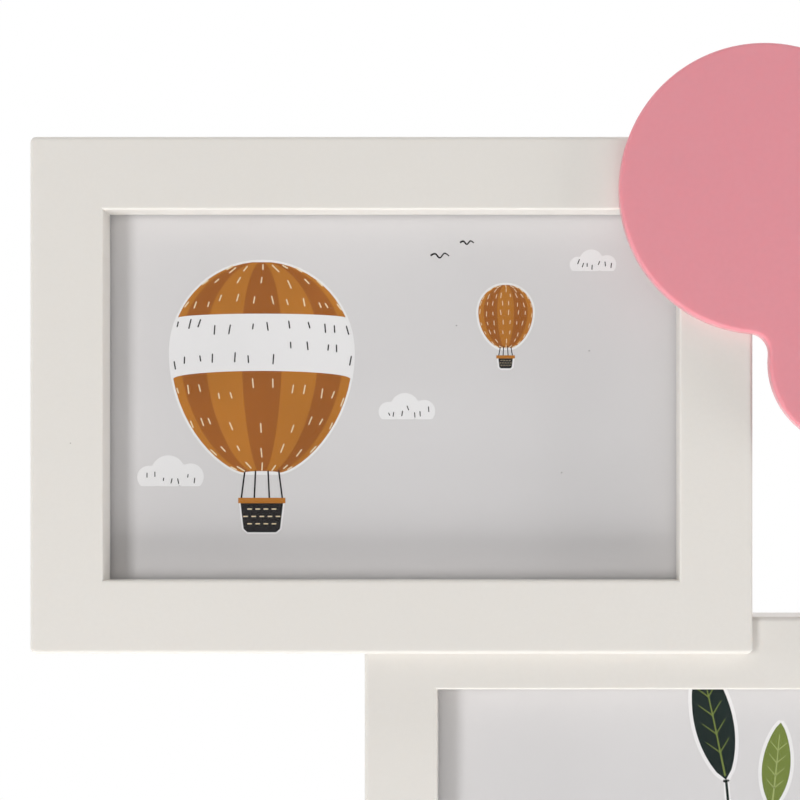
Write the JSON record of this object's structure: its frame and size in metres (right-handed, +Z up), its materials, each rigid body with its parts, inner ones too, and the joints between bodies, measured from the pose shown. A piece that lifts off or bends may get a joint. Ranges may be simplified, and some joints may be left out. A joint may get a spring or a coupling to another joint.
{
  "type": "collage photo frame",
  "caption": "Wall collage of plain moulded photo frames joined edge over edge, with a pink butterfly plate across the gap, turn buttons behind and sawtooth hangers.",
  "frame": {"origin": "on the wall plane, midway between the middle notches of the two sawtooth hangers", "axes": "+X to the right as seen from the room, +Y into the wall, +Z up"},
  "size_m": [0.4542, 0.0276, 0.3769],
  "materials": {
    "frame": "warm white moulded plastic, satin, slightly pearly",
    "clear_sheet": "clear styrene sheet, polished",
    "print": null,
    "board": "thin hardboard, smooth on the outside",
    "button": "zinc plated steel turn button",
    "screw": "zinc plated pan head screw",
    "hanger": "brassed sawtooth hanger strip",
    "butterfly": "pink plastic plate with polished rounded edges",
    "butterfly_body": "deeper pink plastic, glossy"
  },
  "bodies": {
    "frames": {"upper_left_frame": "frame", "upper_left_clear_sheet": "clear_sheet", "upper_left_print": "print", "upper_left_backing_board": "board", "upper_left_button_screws": "screw", "upper_right_frame": "frame", "upper_right_clear_sheet": "clear_sheet", "upper_right_print": "print", "upper_right_backing_board": "board", "upper_right_button_screws": "screw", "lower_frame": "frame", "lower_clear_sheet": "clear_sheet", "lower_print": "print", "lower_backing_board": "board", "lower_button_screws": "screw", "left_hanger": "hanger", "right_hanger": "hanger", "hanger_screws": "screw", "joining_screws": "screw", "butterfly_wings": "butterfly", "butterfly_body": "butterfly_body", "butterfly_screws": "screw"},
    "upper_left_turn_button_left": {"upper_left_turn_button_left": "button"},
    "upper_left_turn_button_right": {"upper_left_turn_button_right": "button"},
    "upper_left_turn_button_top": {"upper_left_turn_button_top": "button"},
    "upper_left_turn_button_bottom": {"upper_left_turn_button_bottom": "button"},
    "upper_right_turn_button_left": {"upper_right_turn_button_left": "button"},
    "upper_right_turn_button_right": {"upper_right_turn_button_right": "button"},
    "upper_right_turn_button_top": {"upper_right_turn_button_top": "button"},
    "upper_right_turn_button_bottom": {"upper_right_turn_button_bottom": "button"},
    "lower_turn_button_left": {"lower_turn_button_left": "button"},
    "lower_turn_button_right": {"lower_turn_button_right": "button"},
    "lower_turn_button_top_left": {"lower_turn_button_top_left": "button"},
    "lower_turn_button_bottom_left": {"lower_turn_button_bottom_left": "button"},
    "lower_turn_button_top_right": {"lower_turn_button_top_right": "button"},
    "lower_turn_button_bottom_right": {"lower_turn_button_bottom_right": "button"}
  },
  "joints": [
    {"name": "upper_left_turn_button_left_pivot", "type": "hinge", "parent": "frames", "child": "upper_left_turn_button_left", "pos_m": [-0.2195, -0.00705, -0.0583], "axis": [0, 1, 0], "range_deg": [-100, 100]},
    {"name": "upper_left_turn_button_right_pivot", "type": "hinge", "parent": "frames", "child": "upper_left_turn_button_right", "pos_m": [-0.0515, -0.00705, -0.0583], "axis": [0, 1, 0], "range_deg": [-100, 100]},
    {"name": "upper_left_turn_button_top_pivot", "type": "hinge", "parent": "frames", "child": "upper_left_turn_button_top", "pos_m": [-0.1735, -0.00705, -0.0003], "axis": [0, 1, 0], "range_deg": [-100, 100]},
    {"name": "upper_left_turn_button_bottom_pivot", "type": "hinge", "parent": "frames", "child": "upper_left_turn_button_bottom", "pos_m": [-0.1735, -0.00705, -0.1163], "axis": [0, 1, 0], "range_deg": [-100, 100]},
    {"name": "upper_right_turn_button_left_pivot", "type": "hinge", "parent": "frames", "child": "upper_right_turn_button_left", "pos_m": [0.0515, -0.00705, -0.0583], "axis": [0, 1, 0], "range_deg": [-100, 100]},
    {"name": "upper_right_turn_button_right_pivot", "type": "hinge", "parent": "frames", "child": "upper_right_turn_button_right", "pos_m": [0.2195, -0.00705, -0.0583], "axis": [0, 1, 0], "range_deg": [-100, 100]},
    {"name": "upper_right_turn_button_top_pivot", "type": "hinge", "parent": "frames", "child": "upper_right_turn_button_top", "pos_m": [0.1735, -0.00705, -0.0003], "axis": [0, 1, 0], "range_deg": [-100, 100]},
    {"name": "upper_right_turn_button_bottom_pivot", "type": "hinge", "parent": "frames", "child": "upper_right_turn_button_bottom", "pos_m": [0.1735, -0.00705, -0.1163], "axis": [0, 1, 0], "range_deg": [-100, 100]},
    {"name": "lower_turn_button_left_pivot", "type": "hinge", "parent": "frames", "child": "lower_turn_button_left", "pos_m": [-0.135, -0.00305, -0.2308], "axis": [0, 1, 0], "range_deg": [-100, 100]},
    {"name": "lower_turn_button_right_pivot", "type": "hinge", "parent": "frames", "child": "lower_turn_button_right", "pos_m": [0.135, -0.00305, -0.2308], "axis": [0, 1, 0], "range_deg": [-100, 100]},
    {"name": "lower_turn_button_top_left_pivot", "type": "hinge", "parent": "frames", "child": "lower_turn_button_top_left", "pos_m": [-0.09325, -0.00305, -0.1223], "axis": [0, 1, 0], "range_deg": [-100, 100]},
    {"name": "lower_turn_button_bottom_left_pivot", "type": "hinge", "parent": "frames", "child": "lower_turn_button_bottom_left", "pos_m": [-0.09325, -0.00305, -0.3393], "axis": [0, 1, 0], "range_deg": [-100, 100]},
    {"name": "lower_turn_button_top_right_pivot", "type": "hinge", "parent": "frames", "child": "lower_turn_button_top_right", "pos_m": [0.09325, -0.00305, -0.1223], "axis": [0, 1, 0], "range_deg": [-100, 100]},
    {"name": "lower_turn_button_bottom_right_pivot", "type": "hinge", "parent": "frames", "child": "lower_turn_button_bottom_right", "pos_m": [0.09325, -0.00305, -0.3393], "axis": [0, 1, 0], "range_deg": [-100, 100]}
  ]
}
